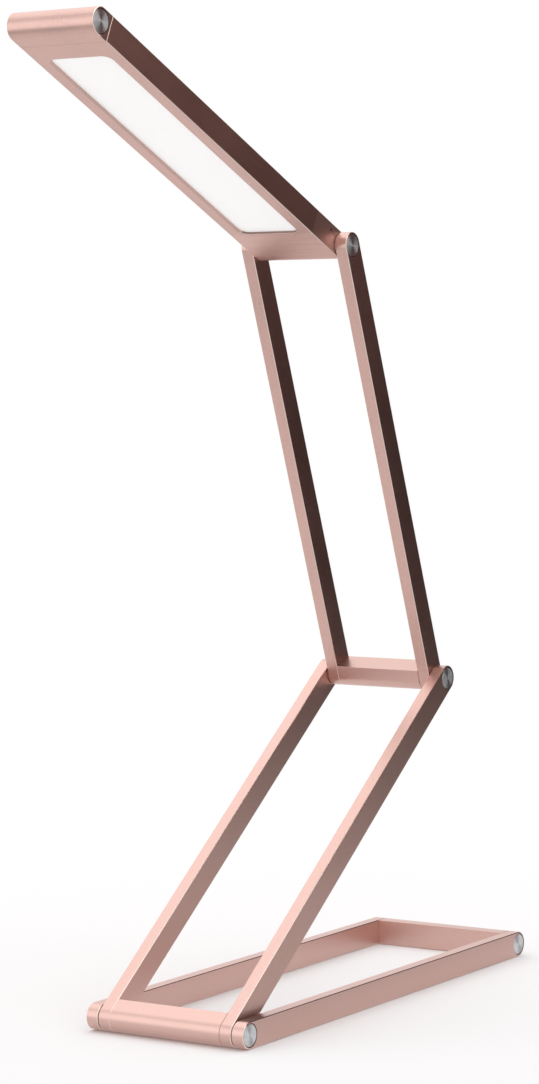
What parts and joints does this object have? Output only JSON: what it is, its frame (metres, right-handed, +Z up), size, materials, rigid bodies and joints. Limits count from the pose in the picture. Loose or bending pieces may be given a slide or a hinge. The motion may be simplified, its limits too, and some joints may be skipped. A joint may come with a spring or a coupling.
{
  "type": "accordion desk lamp",
  "caption": "Flat metal desk lamp whose nested frames unfold like an accordion on friction hinges, from a flat base frame to a slim head with a recessed light panel.",
  "frame": {"origin": "centre of the lamp's footprint on the table, in the pose of the picture: the middle of its box, at the underside of the foot pads", "axes": "+X along the base, from the hinge end towards the end bar; +Y across the lamp, towards its left side; +Z up"},
  "size_m": [0.3302, 0.083, 0.4416],
  "materials": {
    "rail_metal": "satin",
    "bar_metal": "satin",
    "head_metal": "satin",
    "turned_metal": "gloss",
    "screw_steel": "satin",
    "spring_steel": "satin",
    "washer_plastic": "matte",
    "insert_brass": "satin",
    "pad_rubber": "matte",
    "opal_plastic": "satin",
    "clear_acrylic": "gloss",
    "white_film": "gloss",
    "grey_foam": "matte",
    "strip_board": "satin",
    "led_phosphor": "satin",
    "battery_foil": "satin",
    "mounting_tape": "matte",
    "wire_insulation": "satin",
    "board_laminate": "satin",
    "component_resin": "matte",
    "inlet_steel": "polished",
    "insulator_plastic": "matte",
    "contact_bronze": "satin"
  },
  "bodies": {
    "base": {"base_rail_left": "rail_metal", "base_rail_right": "rail_metal", "base_end_bar": "bar_metal", "base_end_discs": "turned_metal", "base_end_screws": "screw_steel", "base_end_inserts": "insert_brass", "foot_pads": "pad_rubber"},
    "lower_arm": {"lower_arm_rail_left": "rail_metal", "lower_arm_rail_right": "rail_metal", "lower_arm_bar": "bar_metal", "base_hinge_discs": "turned_metal", "base_hinge_screws": "screw_steel", "base_hinge_spring_washers": "spring_steel", "base_hinge_friction_washers": "washer_plastic", "base_hinge_inserts": "insert_brass"},
    "upper_arm": {"upper_arm_rail_left": "rail_metal", "upper_arm_rail_right": "rail_metal", "upper_arm_bar": "bar_metal", "middle_hinge_discs": "turned_metal", "middle_hinge_screws": "screw_steel", "middle_hinge_spring_washers": "spring_steel", "middle_hinge_friction_washers": "washer_plastic", "middle_hinge_inserts": "insert_brass"},
    "head": {"head_casing": "head_metal", "head_end_cap": "head_metal", "head_hinge_discs": "turned_metal", "head_hinge_screws": "screw_steel", "head_hinge_spring_washers": "spring_steel", "head_hinge_friction_washers": "washer_plastic", "head_hinge_inserts": "insert_brass", "diffuser_panel": "opal_plastic", "light_guide": "clear_acrylic", "reflector_sheet": "white_film", "pressing_foam": "grey_foam", "led_strip": "strip_board", "led_chips": "led_phosphor", "battery": "battery_foil", "battery_tape": "mounting_tape", "battery_leads": "wire_insulation", "circuit_board": "board_laminate", "board_screws": "screw_steel", "board_components": "component_resin", "charging_inlet": "inlet_steel", "charge_light_pipe": "clear_acrylic", "strip_leads": "wire_insulation", "tip_disc_left": "turned_metal", "touch_disc": "turned_metal", "touch_insulator": "insulator_plastic", "touch_contact": "contact_bronze", "touch_lead": "wire_insulation"}
  },
  "joints": [
    {"name": "base_hinge", "type": "hinge", "parent": "base", "child": "lower_arm", "pos_m": [-0.08492, 0, 0.0063], "axis": [0, -1, 0], "range_deg": [-33, 143.5]},
    {"name": "middle_hinge", "type": "hinge", "parent": "lower_arm", "child": "upper_arm", "pos_m": [0.10077, 0, 0.1437], "axis": [0, 1, 0], "range_deg": [-98.6, 73.4]},
    {"name": "head_hinge", "type": "hinge", "parent": "upper_arm", "child": "head", "pos_m": [0.02656, 0, 0.34869], "axis": [0, 1, 0], "range_deg": [-135, 45]}
  ]
}
